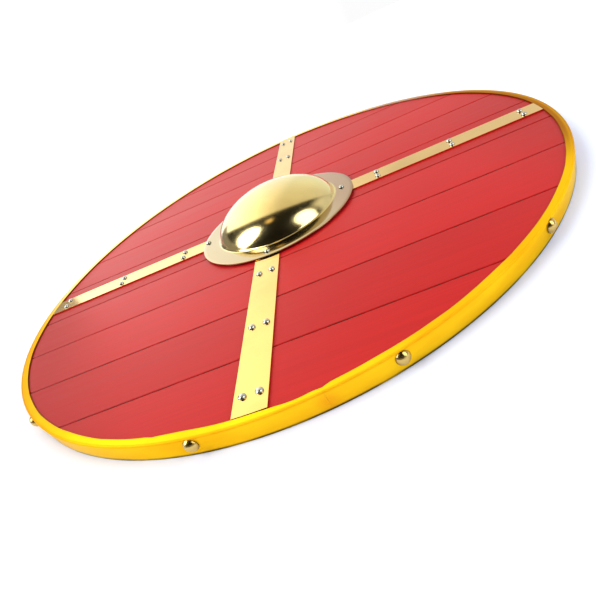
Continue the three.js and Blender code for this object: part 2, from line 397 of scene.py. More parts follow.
def cad_box(node: str) -> tuple[Vector, Vector]:
    """The lowest and the highest corner of a CAD node."""
    low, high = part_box(node)
    return Vector(low), Vector(high)


class Nodes:
    """Short words for building a material's node tree."""

    def __init__(self, name: str) -> None:
        """Starts an empty material with its shader and output.

        Args:
            name: The material's name.
        """
        self.material = bpy.data.materials.new(name)
        self.material.use_nodes = True
        self.tree = self.material.node_tree
        self.tree.nodes.clear()
        self.shader = self.add("ShaderNodeBsdfPrincipled")
        output = self.add("ShaderNodeOutputMaterial")
        self.tree.links.new(self.shader.outputs[0], output.inputs[0])
        self.place = self.add("ShaderNodeTexCoord").outputs["Object"]

    def add(self, kind: str, inputs: dict | None = None, **settings: object) -> bpy.types.Node:
        """Adds a node.

        Args:
            kind: The node's type.
            inputs: Values or sockets for its inputs, by name or number.
            **settings: The node's own settings.

        Returns:
            The node.
        """
        node = self.tree.nodes.new(kind)
        for key, value in settings.items():
            setattr(node, key, value)
        for key, value in (inputs or {}).items():
            self.feed(node, key, value)
        return node

    def feed(self, node: bpy.types.Node, key: str | int, value: object) -> None:
        """Links a socket to an input, or sets the input's value.

        Args:
            node: The node.
            key: The input's name or number.
            value: A socket or a plain value.
        """
        if isinstance(value, bpy.types.NodeSocket):
            self.tree.links.new(value, node.inputs[key])
        else:
            node.inputs[key].default_value = value

    def axes(self) -> tuple[bpy.types.NodeSocket, ...]:
        """How far a place is along the planks, across them and up."""
        return tuple(self.add("ShaderNodeSeparateXYZ", {0: self.place}).outputs)

    def radius(self) -> bpy.types.NodeSocket:
        """Distance from the shield's upright middle line."""
        along, across, _ = self.axes()
        flat = self.add("ShaderNodeCombineXYZ", {0: along, 1: across})
        return self.add("ShaderNodeVectorMath", {0: flat.outputs[0]}, operation="LENGTH").outputs["Value"]

    def math(self, operation: str, *values: object) -> bpy.types.NodeSocket:
        """Calculates with values or sockets, by the name of the operation."""
        return self.add("ShaderNodeMath", dict(enumerate(values)), operation=operation).outputs[0]

    def times(self, one: object, other: object) -> bpy.types.NodeSocket:
        """Multiplies two values or sockets."""
        return self.math("MULTIPLY", one, other)

    def vary(self, pattern: bpy.types.NodeSocket, share: float, base: object) -> bpy.types.NodeSocket:
        """Adds a share of a pattern to a base value."""
        return self.math("ADD", self.times(pattern, share), base)

    def toward(self, right: float, far: float) -> bpy.types.NodeSocket:
        """How far a place lies to the right and the far side, by a share of each."""
        along, across, _ = self.axes()
        return self.vary(along, right, self.times(across, far))

    def stretch(self, scale: tuple[float, float, float], shift: object = (0, 0, 0)) -> bpy.types.NodeSocket:
        """Object coordinates times a scale, in counts per metre, with a shift."""
        inputs = {"Vector": self.place, "Scale": scale, "Location": shift}
        return self.add("ShaderNodeMapping", inputs).outputs[0]

    def noise(
        self, where: bpy.types.NodeSocket, detail: float = 3, roughness: float = 0.55
    ) -> bpy.types.NodeSocket:
        """Smooth noise of scale 1 over stretched coordinates, from 0 to 1."""
        inputs = {"Vector": where, "Scale": 1.0, "Detail": detail, "Roughness": roughness}
        return self.add("ShaderNodeTexNoise", inputs).outputs[0]

    def ramp(
        self, value: bpy.types.NodeSocket, low: float, high: float, out: tuple[float, float] = (0, 1)
    ) -> bpy.types.NodeSocket:
        """Runs smoothly from one number to another while a value goes from low to high."""
        inputs = {"Value": value, "From Min": low, "From Max": high, "To Min": out[0], "To Max": out[1]}
        return self.add("ShaderNodeMapRange", inputs, interpolation_type="SMOOTHSTEP").outputs[0]

    def blend(self, share: object, one: object, other: object) -> bpy.types.NodeSocket:
        """Goes from one colour to another by a share."""
        node = self.add("ShaderNodeMix", {0: share, 6: one, 7: other}, data_type="RGBA")
        return node.outputs[2]

    def bump(
        self, height: bpy.types.NodeSocket, depth: float, strength: float = 1, under: object = None
    ) -> bpy.types.NodeSocket:
        """Turns heights of 0 to 1 into a relief of a depth in metres."""
        inputs = {"Height": height, "Distance": depth, "Strength": strength}
        if under is not None:
            inputs["Normal"] = under
        return self.add("ShaderNodeBump", inputs).outputs[0]

    def dress(self, **inputs: object) -> bpy.types.Material:
        """Feeds the shader's inputs, with _ for a space in their names.

        Args:
            **inputs: Values or sockets.

        Returns:
            The finished material.
        """
        for key, value in inputs.items():
            self.feed(self.shader, key.replace("_", " "), value)
        return self.material


def shade(red: float, green: float, blue: float) -> tuple[float, float, float, float]:
    """An opaque colour from its linear parts."""
    return (red, green, blue, 1.0)


@dataclass(frozen=True)
class BrushedRedPaint:
    """Semi-gloss red paint brushed along the planks, with the grain and the open joints showing, and painted
    shade at the near left and the right end.
    """

    plank_width: float
    board_radius: float
    front: float
    red: tuple = shade(0.51, 0.012, 0.011)
    deep_red: tuple = shade(0.45, 0.010, 0.010)
    # Colour of the painted shade at the near left and the right end of the board.
    shaded_red: tuple = shade(0.38, 0.008, 0.008)
    joint_brown: tuple = shade(0.15, 0.028, 0.018)
    grain_scale: tuple = (9, 620, 60)
    stroke_scale: tuple = (3.5, 150, 20)
    cloud_scale: tuple = (9, 16, 9)
    roughness: float = 0.4
    gloss: float = 0.13

    def build(self) -> bpy.types.Material:
        """Builds the material."""
        nodes = Nodes("brushed_red_paint")
        along, across, height = nodes.axes()
        plank = nodes.math("DIVIDE", nodes.math("ADD", across, self.board_radius), self.plank_width)
        own = nodes.add("ShaderNodeTexWhiteNoise", {"W": nodes.math("FLOOR", plank)}, noise_dimensions="1D")
        shift = nodes.add("ShaderNodeVectorMath", {0: own.outputs["Color"], "Scale": 40.0}, operation="SCALE")
        grain = nodes.noise(nodes.stretch(self.grain_scale, shift.outputs[0]), 5, 0.6)
        strokes = nodes.noise(nodes.stretch(self.stroke_scale, shift.outputs[0]), 3)
        cloud = nodes.noise(nodes.stretch(self.cloud_scale, shift.outputs[0]), 2)
        grain_and_shade = nodes.vary(grain, 0.55, nodes.times(strokes, 0.45))
        tint = nodes.blend(nodes.ramp(grain_and_shade, 0.34, 0.66), self.deep_red, self.red)
        tint = nodes.blend(nodes.ramp(cloud, 0.3, 0.75, (0, 0.35)), tint, self.deep_red)
        bright = nodes.vary(own.outputs["Value"], 0.12, 0.94)
        tint = nodes.add("ShaderNodeHueSaturation", {"Color": tint, "Value": bright}).outputs[0]
        # Painted shade: darkens the near left end of the board.
        near_left = nodes.toward(0.9, 0.44)
        tint = nodes.blend(nodes.ramp(near_left, -285 * MM, -195 * MM, (1, 0)), tint, self.shaded_red)
        # Painted shade: darkens the right end of the board.
        right = nodes.vary(nodes.math("ABSOLUTE", across), -0.25, along)
        tint = nodes.blend(nodes.ramp(right, 170 * MM, 300 * MM, (0, 0.9)), tint, self.shaded_red)
        open_joint = nodes.ramp(height, self.front - 0.7 * MM, self.front - 0.16 * MM, (1, 0))
        broken = nodes.ramp(nodes.noise(nodes.stretch((60, 14, 0)), 4, 0.65), 0.38, 0.58, (0.15, 1))
        in_front = nodes.ramp(height, self.front - 3 * MM, self.front - 2 * MM)
        joint = nodes.times(nodes.times(open_joint, broken), in_front)
        tint = nodes.blend(joint, tint, self.joint_brown)
        relief = nodes.bump(grain, 0.06 * MM, 0.35)
        relief = nodes.bump(strokes, 0.15 * MM, 0.3, relief)
        rough = nodes.vary(strokes, 0.12, self.roughness - 0.06)
        return nodes.dress(Base_Color=tint, Roughness=rough, Specular_IOR_Level=self.gloss, Normal=relief)


@dataclass(frozen=True)
class GoldenYellowBand:
    """Glossy golden yellow finish of the rim band, with a soft sheen along its length, painted shade towards
    the right, at the near left and on the lip's inner edge, and a painted contact shadow along its foot.
    """

    outer: float
    lip_middle: float
    lip_top: float
    seam_angle: float
    yellow: tuple = shade(1.0, 0.59, 0.010)
    deep_yellow: tuple = shade(0.96, 0.49, 0.007)
    # Colour of the painted shade on the lip's inner edge.
    lip_wall_shade: tuple = shade(0.12, 0.035, 0.004)
    # Colour of the painted shade towards the right and at the near left.
    shaded_yellow: tuple = shade(0.42, 0.125, 0.02)
    seam_stain: tuple = shade(0.88, 0.30, 0.008)
    # Colour of the painted contact shadow along the band's foot.
    contact_shadow: tuple = shade(0.05, 0.025, 0.006)
    chip: tuple = shade(0.9, 0.78, 0.66)
    edge_tint: tuple = shade(1.0, 0.9, 0.4)
    metal: float = 0.75
    roughness: float = 0.3
    coat_roughness: float = 0.2
    coat_gloss: float = 1.7

    def near_seam(self, nodes: Nodes, radius: float, height: float, reach: float) -> bpy.types.NodeSocket:
        """Fades out with the distance from a place on the seam.

        Args:
            nodes: The material's nodes.
            radius: How far out the place is.
            height: How high it is.
            reach: Where the fading ends.

        Returns:
            One at the place and zero beyond the reach.
        """
        turn = math.radians(self.seam_angle)
        place = (radius * math.cos(turn), radius * math.sin(turn), height)
        apart = nodes.add("ShaderNodeVectorMath", {0: nodes.place, 1: place}, operation="DISTANCE")
        return nodes.ramp(apart.outputs["Value"], 0, reach, (1, 0))

    def build(self) -> bpy.types.Material:
        """Builds the material."""
        nodes = Nodes("golden_yellow_band")
        height, radius = nodes.axes()[2], nodes.radius()
        patches = nodes.noise(nodes.stretch((14, 14, 60)), 3)
        fine = nodes.noise(nodes.stretch((900, 900, 900)), 2)
        tint = nodes.blend(nodes.ramp(patches, 0.35, 0.7), self.yellow, self.deep_yellow)
        # Painted shade: darkens the band towards the right, the inner half of the lip most.
        grain_and_shade = nodes.ramp(radius, self.lip_middle - MM, self.lip_middle + 1.5 * MM, (1, 0.65))
        grain_and_shade = nodes.times(grain_and_shade, nodes.ramp(nodes.toward(0.94, 0.34), 190 * MM, 252 * MM))
        tint = nodes.blend(grain_and_shade, tint, self.shaded_yellow)
        # Painted shade: darkens the band towards the near left.
        near_left = nodes.ramp(nodes.toward(0.92, 0.38), -300 * MM, -235 * MM, (0.55, 0))
        tint = nodes.blend(near_left, tint, self.shaded_yellow)
        seam = self.near_seam(nodes, self.outer, self.lip_top / 2, 12 * MM)
        tint = nodes.blend(nodes.times(seam, 0.6), tint, self.seam_stain)
        # Painted contact shadow: darkens the lowest few millimetres of the band, unevenly.
        shadow_breakup = nodes.ramp(nodes.noise(nodes.stretch((30, 30, 10)), 3), 0.3, 0.55, (0.6, 1))
        foot = nodes.ramp(height, 0.9 * MM, 2.6 * MM, (1, 0))
        tint = nodes.blend(nodes.times(foot, shadow_breakup), tint, self.contact_shadow)
        # Painted shade: darkens the lip's inner edge below its top.
        on_lip = nodes.ramp(radius, self.lip_middle - 0.5 * MM, self.lip_middle, (1, 0))
        below = nodes.ramp(height, self.lip_top - 0.6 * MM, self.lip_top - 0.35 * MM, (1, 0))
        tint = nodes.blend(nodes.times(on_lip, below), tint, self.lip_wall_shade)
        chip = self.near_seam(nodes, self.lip_middle - 2.6 * MM, self.lip_top - 0.5 * MM, 2.2 * MM)
        tint = nodes.blend(nodes.ramp(chip, 0.3, 0.6), tint, self.chip)
        ridge = nodes.ramp(radius, self.outer - 2.2 * MM, self.outer - MM)
        ridge = nodes.times(ridge, nodes.ramp(height, self.lip_top - 2.4 * MM, self.lip_top - 1.2 * MM))
        rough = nodes.vary(patches, 0.10, self.roughness - 0.05)
        rough = nodes.vary(ridge, 0.45, rough)
        lacquer = nodes.ramp(nodes.toward(-0.35, 1), 60 * MM, 180 * MM)
        relief = nodes.bump(fine, 0.02 * MM, 0.15)
        relief = nodes.bump(patches, 0.4 * MM, 0.2, relief)
        return nodes.dress(
            Base_Color=tint,
            Metallic=self.metal,
            Roughness=rough,
            Normal=relief,
            Specular_IOR_Level=0.06,
            Specular_Tint=self.edge_tint,
            Coat_Weight=lacquer,
            Coat_Roughness=self.coat_roughness,
            Coat_IOR=self.coat_gloss,
        )


@dataclass(frozen=True)
class RolledBrass:
    """Pale satin brass strip, rolled along its length."""

    brass: tuple = shade(0.84, 0.56, 0.18)
    dull: tuple = shade(0.76, 0.50, 0.155)
    roughness: float = 0.1

    def build(self) -> bpy.types.Material:
        """Builds the material."""
        nodes = Nodes("rolled_brass")
        fine = nodes.noise(nodes.stretch((420, 420, 420)), 3)
        cloud = nodes.noise(nodes.stretch((22, 22, 22)), 4)
        tint = nodes.blend(nodes.ramp(cloud, 0.38, 0.72), self.brass, self.dull)
        rough = nodes.vary(fine, 0.04, nodes.vary(cloud, 0.08, self.roughness - 0.04))
        relief = nodes.bump(fine, 0.01 * MM, 0.12)
        return nodes.dress(Base_Color=tint, Metallic=1.0, Roughness=rough, Normal=relief)


@dataclass(frozen=True)
class SpunBrass:
    """Polished brass sheet that was spun on a lathe, a little hazy on the flange, with painted reflection
    tones on the dome and a flange that is darker towards the right and the far side.
    """

    dome_radius: float
    brass: tuple = shade(0.80, 0.65, 0.29)
    dull: tuple = shade(0.71, 0.57, 0.255)
    # Colour of the painted reflection towards the far left of the dome.
    pale: tuple = shade(0.44, 0.38, 0.24)
    # Colour of the painted reflection towards the far right of the dome.
    warm_reflection: tuple = shade(0.98, 0.86, 0.35)
    flange_brass: tuple = shade(0.46, 0.375, 0.21)
    # Colour of the flange towards the right and the far side.
    darker_flange: tuple = shade(0.44, 0.29, 0.165)
    roughness: float = 0.125
    foot_roughness: float = 0.35
    flange_roughness: float = 0.07

    def build(self) -> bpy.types.Material:
        """Builds the material."""
        nodes = Nodes("spun_brass")
        radius = nodes.radius()
        rings = nodes.add(
            "ShaderNodeTexNoise",
            {"W": nodes.times(radius, 900.0), "Scale": 1.0, "Detail": 3.0},
            noise_dimensions="1D",
        ).outputs[0]
        cloud = nodes.noise(nodes.stretch((30, 30, 30)), 4)
        along, across, _ = nodes.axes()
        on_flange = nodes.ramp(radius, self.dome_radius + 0.2 * MM, self.dome_radius + 2.7 * MM)
        tint = nodes.blend(nodes.ramp(cloud, 0.35, 0.75), self.brass, self.dull)
        # Painted reflection: a warmer, brighter tone towards the far right of the dome.
        upper = nodes.ramp(across, -30 * MM, 5 * MM)
        tint = nodes.blend(nodes.times(nodes.ramp(along, 0, 50 * MM), upper), tint, self.warm_reflection)
        # Painted reflection: a greyer, darker tone towards the far left of the dome.
        tint = nodes.blend(nodes.ramp(nodes.toward(-0.7, 0.7), -10 * MM, 60 * MM), tint, self.pale)
        # The flange turns darker towards the right and the far side.
        darker_side = nodes.ramp(nodes.toward(1, 0.5), 15 * MM, 75 * MM)
        plate = nodes.blend(darker_side, self.flange_brass, self.darker_flange)
        tint = nodes.blend(on_flange, tint, plate)
        foot = nodes.math("SUBTRACT", radius, self.dome_radius - 0.8 * MM)
        foot = nodes.ramp(nodes.math("ABSOLUTE", foot), 1.2 * MM, 2.6 * MM, (1, 0))
        foot = nodes.ramp(nodes.times(foot, upper), 0, 1, (self.roughness, self.foot_roughness))
        rough = nodes.ramp(on_flange, 0.0, 1.0, (1, 0))
        rough = nodes.math("MAXIMUM", nodes.times(rough, foot), self.flange_roughness)
        rough = nodes.vary(cloud, 0.06, rough)
        relief = nodes.bump(rings, 0.004 * MM, 0.15)
        relief = nodes.bump(cloud, 0.25 * MM, 0.12, relief)
        return nodes.dress(Base_Color=tint, Metallic=1.0, Roughness=rough, Normal=relief)


@dataclass(frozen=True)
class BrightSteel:
    """Bright rivet steel with a light tarnish."""

    steel: tuple = shade(0.56, 0.60, 0.57)
    tarnish: tuple = shade(0.34, 0.33, 0.26)
    roughness: float = 0.27

    def build(self) -> bpy.types.Material:
        """Builds the material."""
        nodes = Nodes("bright_steel")
        spots = nodes.noise(nodes.stretch((500, 500, 500)), 4)
        tint = nodes.blend(nodes.ramp(spots, 0.5, 0.75, (0, 0.7)), self.steel, self.tarnish)
        rough = nodes.vary(spots, 0.2, self.roughness - 0.08)
        relief = nodes.bump(spots, 0.05 * MM, 0.25)
        return nodes.dress(Base_Color=tint, Metallic=1.0, Roughness=rough, Normal=relief)


@dataclass(frozen=True)
class AgedBrass:
    """Brass of the nail heads, bright on top and browner round the foot."""

    brass: tuple = shade(0.62, 0.43, 0.13)
    brown: tuple = shade(0.34, 0.22, 0.08)
    roughness: float = 0.2
    rim_radius: float = RIM_RADIUS

    def build(self) -> bpy.types.Material:
        """Builds the material."""
        nodes = Nodes("aged_brass")
        spots = nodes.noise(nodes.stretch((350, 350, 350)), 4)
        foot = nodes.ramp(nodes.radius(), self.rim_radius + 0.2 * MM, self.rim_radius + 1.6 * MM, (0.75, 0))
        age = nodes.math("ADD", foot, nodes.ramp(spots, 0.52, 0.8, (0, 0.5)))
        tint = nodes.blend(nodes.math("MINIMUM", age, 1.0), self.brass, self.brown)
        rough = nodes.vary(spots, 0.2, self.roughness - 0.08)
        relief = nodes.bump(spots, 0.06 * MM, 0.3)
        return nodes.dress(Base_Color=tint, Metallic=1.0, Roughness=rough, Normal=relief)


@dataclass(frozen=True)
class OiledWood:
    """Plain oiled hardwood, with its grain along the bar."""

    light: tuple = shade(0.34, 0.17, 0.07)
    dark: tuple = shade(0.16, 0.07, 0.028)
    roughness: float = 0.5

    def build(self) -> bpy.types.Material:
        """Builds the material."""
        nodes = Nodes("oiled_wood")
        rings = nodes.noise(nodes.stretch((170, 5, 170)), 4, 0.6)
        pores = nodes.noise(nodes.stretch((1400, 40, 1400)), 2)
        tint = nodes.blend(nodes.ramp(rings, 0.32, 0.68), self.dark, self.light)
        tint = nodes.blend(nodes.ramp(pores, 0.6, 0.75, (0, 0.6)), tint, self.dark)
        rough = nodes.vary(rings, 0.15, self.roughness - 0.08)
        relief = nodes.bump(pores, 0.08 * MM, 0.4)
        relief = nodes.bump(rings, 0.15 * MM, 0.3, relief)
        return nodes.dress(Base_Color=tint, Roughness=rough, Specular_IOR_Level=0.4, Normal=relief)


@dataclass(frozen=True)
class StudioSurface:
    """Plain matt surface of the studio, which isn't part of the shield."""

    name: str
    colour: tuple
    fade: tuple[tuple[int, float, float], ...] = ()
    foot: tuple[float, float, float] = (1.0, 0.0, 0.0)

    def build(self) -> bpy.types.Material:
        """Builds the material, clear where every fade's axis is past its second place.

        The foot has a brightness factor and the heights between which it ends.
        """
        nodes = Nodes(self.name)
        solid, colour = 1.0, self.colour
        axes = nodes.axes()
        factor, low, high = self.foot
        if high > low:
            light = shade(*(part * factor for part in self.colour[:3]))
            colour = nodes.blend(nodes.ramp(axes[2], low, high), light, self.colour)
        if self.fade:
            clear = 1.0
            for axis, start, end in self.fade:
                clear = nodes.times(clear, nodes.ramp(axes[axis], start, end))
            solid = nodes.math("SUBTRACT", 1.0, clear)
        return nodes.dress(Base_Color=colour, Roughness=1.0, Specular_IOR_Level=0.0, Alpha=solid)


@dataclass
class SubAssembly:
    """A group of pieces with one finish."""

    slot: Slot = field(init=False)
    material: bpy.types.Material = field(init=False)

    def hand_over(self, piece: bpy.types.Object, node: str) -> None:
        """Dresses a finished piece and lets it stand for its CAD node.

        Args:
            piece: The piece.
            node: The CAD node that it replaces.
        """
        piece.data.materials.clear()
        piece.data.materials.append(self.material)
        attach(piece, "root")
        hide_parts(node)
        log.info("%s: %d faces", piece.name, len(piece.data.polygons))


@dataclass
class Fastening(SubAssembly):
    """Rivets or nails that are copied from one master."""

    bore: float = field(init=False)

    def bores(self) -> bpy.types.Object:
        """Makes the solid that cuts this fastening's holes."""
        raise NotImplementedError


@dataclass
class Rivets(Fastening):
    """Round-headed rivets through the straps and the boss flange, clenched at the back."""

    head_radius: float = 3.0 * MM
    head_height: float = 2.0 * MM
    seat_gap: float = 0.22 * MM
    shank_radius: float = 1.6 * MM
    tail_radius: float = 2.4 * MM
    tail_height: float = 0.9 * MM
    stub: float = 2 * MM
    flatness: float = 2.3
    rows: int = 6
    steps: int = 28
    slot: Slot = field(init=False, default=Slot.RIVET)

    def __post_init__(self) -> None:
        """Sets the finish and the width of the holes."""
        self.material = BrightSteel().build()
        self.bore = self.shank_radius + 0.15 * MM
        self.names = [f"rivet_{side.word}_{row + 1}" for side in Side for row in range(self.rows)]
        self.names += [f"boss_rivet_{side.word}" for side in Side]

    def master(self) -> bpy.types.Object:
        """Turns one rivet with its seat at height zero and its tail a short stub below."""
        radius = self.head_radius
        head = [
            (radius * share, self.head_height * math.sqrt(1 - share**self.flatness))
            for share in (math.sin(math.pi / 2 * step / 10) for step in range(11))
        ]
        foot = [
            (radius, -self.seat_gap * 0.6),
            (radius - 0.2 * MM, -self.seat_gap),
            (self.shank_radius, -self.seat_gap),
            (self.shank_radius, -self.stub),
            (self.tail_radius - 0.3 * MM, -self.stub),
            (self.tail_radius, -self.stub - 0.3 * MM),
            (self.tail_radius * 0.82, -self.stub - self.tail_height * 0.85),
            (self.tail_radius * 0.4, -self.stub - self.tail_height),
            (0, -self.stub - self.tail_height),
        ]
        rivet = Bench.outline("rivet_master", head + foot, closed=False)
        Bench.turn(rivet, self.steps)
        Bench.smooth(rivet, 40)
        return rivet

    def build(self) -> None:
        """Copies the master to each rivet's place and draws its tail to the back."""
        master = self.master()
        for count, name in enumerate(self.names):
            low, high = cad_box(name)
            seat = high.z - self.head_height
            drop = low.z - seat + self.stub + self.tail_height
            tilt = Matrix.Rotation(2.4 * count, 4, "Z")
            rivet = Bench.twin(master, name + "_dressed")
            Bench.warp(rivet, lambda place: tilt @ place + Vector((0, 0, drop if place.z < -MM else 0)))
            middle = (low + high) / 2
            Bench.warp(rivet, lambda place: place + Vector((middle.x, middle.y, seat)))
            self.hand_over(rivet, name)
        Bench.discard(master)

    def bores(self) -> bpy.types.Object:
        """Makes the upright posts that cut the rivet holes."""
        posts = []
        for name in self.names:
            low, high = cad_box(name)
            middle = ((low + high) / 2).xy.to_3d()
            posts.append(Bench.post("bore", self.bore, middle - UP * 5 * MM, middle + UP * 30 * MM))
        return Bench.join("rivet_bores", posts)


@dataclass
class RimNails(Fastening):
    """Domed nails that hold the rim band to the board's edge."""

    count: int = 8
    head_radius: float = 5.5 * MM
    head_height: float = 3.6 * MM
    seat_gap: float = 0.25 * MM
    shank_radius: float = 1.5 * MM
    length: float = 20 * MM
    tip: float = 4 * MM
    dent: float = 0.12 * MM
    steps: int = 36
    slot: Slot = field(init=False, default=Slot.NAIL)

    def __post_init__(self) -> None:
        """Sets the finish and the width of the holes."""
        self.material = AgedBrass().build()
        self.bore = self.shank_radius + 0.15 * MM

    def nail_place(self, number: int) -> tuple[float, float, float]:
        """Finds a nail in the CAD model.

        Args:
            number: The nail's number.

        Returns:
            Its angle round the rim, the radius of its head's seat and its height.
        """
        low, high = cad_box(f"rim_nail_{number}")
        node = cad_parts[f"rim_nail_{number}"]
        tops = max((vertex.co.xy.length, *vertex.co) for vertex in node.data.vertices)
        return math.atan2(tops[2], tops[1]), tops[0] - self.head_height, (low.z + high.z) / 2

    def master(self) -> bpy.types.Object:
        """Turns one nail that stands head up with its seat at height zero."""
        radius, height = self.head_radius, self.head_height
        ball = (radius**2 + height**2) / (2 * height)
        reach = math.asin(min(1, radius / ball))
        head = [
            (ball * math.sin(reach * step / 14), height - ball + ball * math.cos(reach * step / 14))
            for step in range(15)
        ]
        foot = [
            (radius - 0.05 * MM, -self.seat_gap * 0.6),
            (radius - 0.35 * MM, -self.seat_gap),
            (self.shank_radius, -self.seat_gap),
            (self.shank_radius, self.tip - self.length),
            (0, -self.length),
        ]
        nail = Bench.outline("nail_master", head + foot, closed=False)
        Bench.turn(nail, self.steps)
        Bench.smooth(nail, 40)
        return nail

    def build(self) -> None:
        """Copies the master to each nail's place, turned to point at the middle."""
        master = self.master()
        for number in range(1, self.count + 1):
            angle, seat, height = self.nail_place(number)
            lay = Matrix.Rotation(angle, 4, "Z") @ Matrix.Rotation(math.pi / 2, 4, "Y")
            foot = Vector((seat * math.cos(angle), seat * math.sin(angle), height))
            nail = Bench.twin(master, f"rim_nail_{number}_dressed")
            depth = self.dent / self.head_radius
            Bench.warp(nail, lambda place: place * (1 - depth * abs(wander(place, 5 * MM, number))))
            Bench.warp(nail, lambda place: lay @ place + foot)
            self.hand_over(nail, f"rim_nail_{number}")
        Bench.discard(master)

    def bores(self) -> bpy.types.Object:
        """Makes the level posts that cut the nail holes."""
        posts = []
        for number in range(1, self.count + 1):
            angle, seat, height = self.nail_place(number)
            out = Vector((math.cos(angle), math.sin(angle), 0))
            inner = out * (seat - self.length - 0.3 * MM) + UP * height
            outer = out * (seat + 5 * MM) + UP * height
            posts.append(Bench.post("bore", self.bore, inner, outer))
        return Bench.join("nail_bores", posts)


@dataclass
class Board(SubAssembly):
    """Nine planks laid edge to edge and cut round, with a hand hole in the middle."""

    radius: float = 303.3 * MM
    thickness: float = 10 * MM
    back: float = 5.3 * MM
    planks: int = 9
    gap: float = 0.3 * MM
    edge_round: float = 1.15 * MM
    edge_wander: float = 0.3 * MM
    hand_hole: float = 58 * MM
    cuts: int = 110
    slot: Slot = field(init=False, default=Slot.BOARD)

    def __post_init__(self) -> None:
        """Sets the finish and the front face's height."""
        self.front = self.back + self.thickness
        self.width = 2 * self.radius / self.planks
        self.material = BrushedRedPaint(self.width, self.radius, self.front).build()

    def round_tools(self) -> tuple[bpy.types.Object, bpy.types.Object]:
        """Makes the disc that the planks share and the post that cuts the hand hole."""
        disc = Bench.post("disc", self.radius, Vector(), UP * 40 * MM, 288)
        hole = Bench.post("hand_hole", self.hand_hole, -UP * MM, UP * 40 * MM, 128)
        return disc, hole

    def strip(self, index: int) -> bpy.types.Object:
        """Makes one plank as a long strip with softened, slightly uneven front edges.

        Args:
            index: The plank's place from the near edge.

        Returns:
            The strip, still square at its ends.
        """
        low = -self.radius + index * self.width + self.gap / 2
        high = low + self.width - self.gap
        plank = Bench.bar(
            f"plank_{index + 1}", Vector((-0.31, low, self.back)), Vector((0.31, high, self.front))
        )
        Bench.work(plank, Pick.EDGES, lengthwise, bpy.ops.mesh.subdivide, number_cuts=self.cuts)
        Bench.work(
            plank,
            Pick.EDGES,
            lambda middle, way: lengthwise(middle, way) and middle.z > self.front - 0.1 * MM,
            bpy.ops.mesh.bevel,
            offset=self.edge_round,
            segments=2,
        )
        middle = (low + high) / 2
        flat = self.width / 2 - 2 * self.edge_round

        def uneven(place: Vector) -> Vector:
            """Lets the front edges run in and out a little and the face cup by a hair."""
            if place.z < self.front - 2 * MM:
                return place
            side = 1 if place.y > middle else -1
            run = Vector((place.x, side, 0))
            slow = wander(run, 46 * MM, index + 0.37 * side)
            quick = wander(run, 11 * MM, index + 9 + 0.37 * side)
            if abs(place.y - middle) > flat:
                inward = self.edge_wander * (0.5 + 0.5 * slow + 0.5 * quick)
                if place.z > self.front - 0.5 * MM:
                    place.y -= side * max(0, inward)
            place.z -= 0.06 * MM * (1 + wander(Vector((place.x, index, 0)), 120 * MM, index))
            return place

        Bench.warp(plank, uneven)
        return plank

    def build(self, bores: list[bpy.types.Object]) -> None:
        """Cuts each strip round and drills it.

        Args:
            bores: The solids that cut the rivet and nail holes.
        """
        disc, hole = self.round_tools()
        for index in range(self.planks):
            plank = self.strip(index)
            Bench.carve(plank, disc, Carve.KEEP_SHARED)
            Bench.carve(plank, hole, Carve.CUT)
            for bore in bores:
                Bench.carve(plank, bore, Carve.CUT)
            for piece, node in self.halves(plank, index):
                Bench.smooth(piece, 50)
                Bench.flatten_shading(piece)
                self.hand_over(piece, node)
        Bench.discard(disc, hole)

    def halves(self, plank: bpy.types.Object, index: int) -> list[tuple[bpy.types.Object, str]]:
        """Parts the middle plank, which the hand hole cuts in two.

        Args:
            plank: The cut plank.
            index: Its place from the near edge.

        Returns:
            Each piece with the CAD node that it stands for.
        """
        name = f"plank_{index + 1}"
        plank.name = name + "_dressed"
        if index != self.planks // 2:
            return [(plank, name)]
        right = Bench.twin(plank, name + "_right_dressed")
        plank.name = name + "_left_dressed"
        for piece, side in ((right, 1), (plank, -1)):
            beyond = lambda place, way: place.x * side < 0
            Bench.work(piece, Pick.VERTICES, beyond, bpy.ops.mesh.delete, type="VERT")
        return [(plank, name + "_left"), (right, name + "_right")]


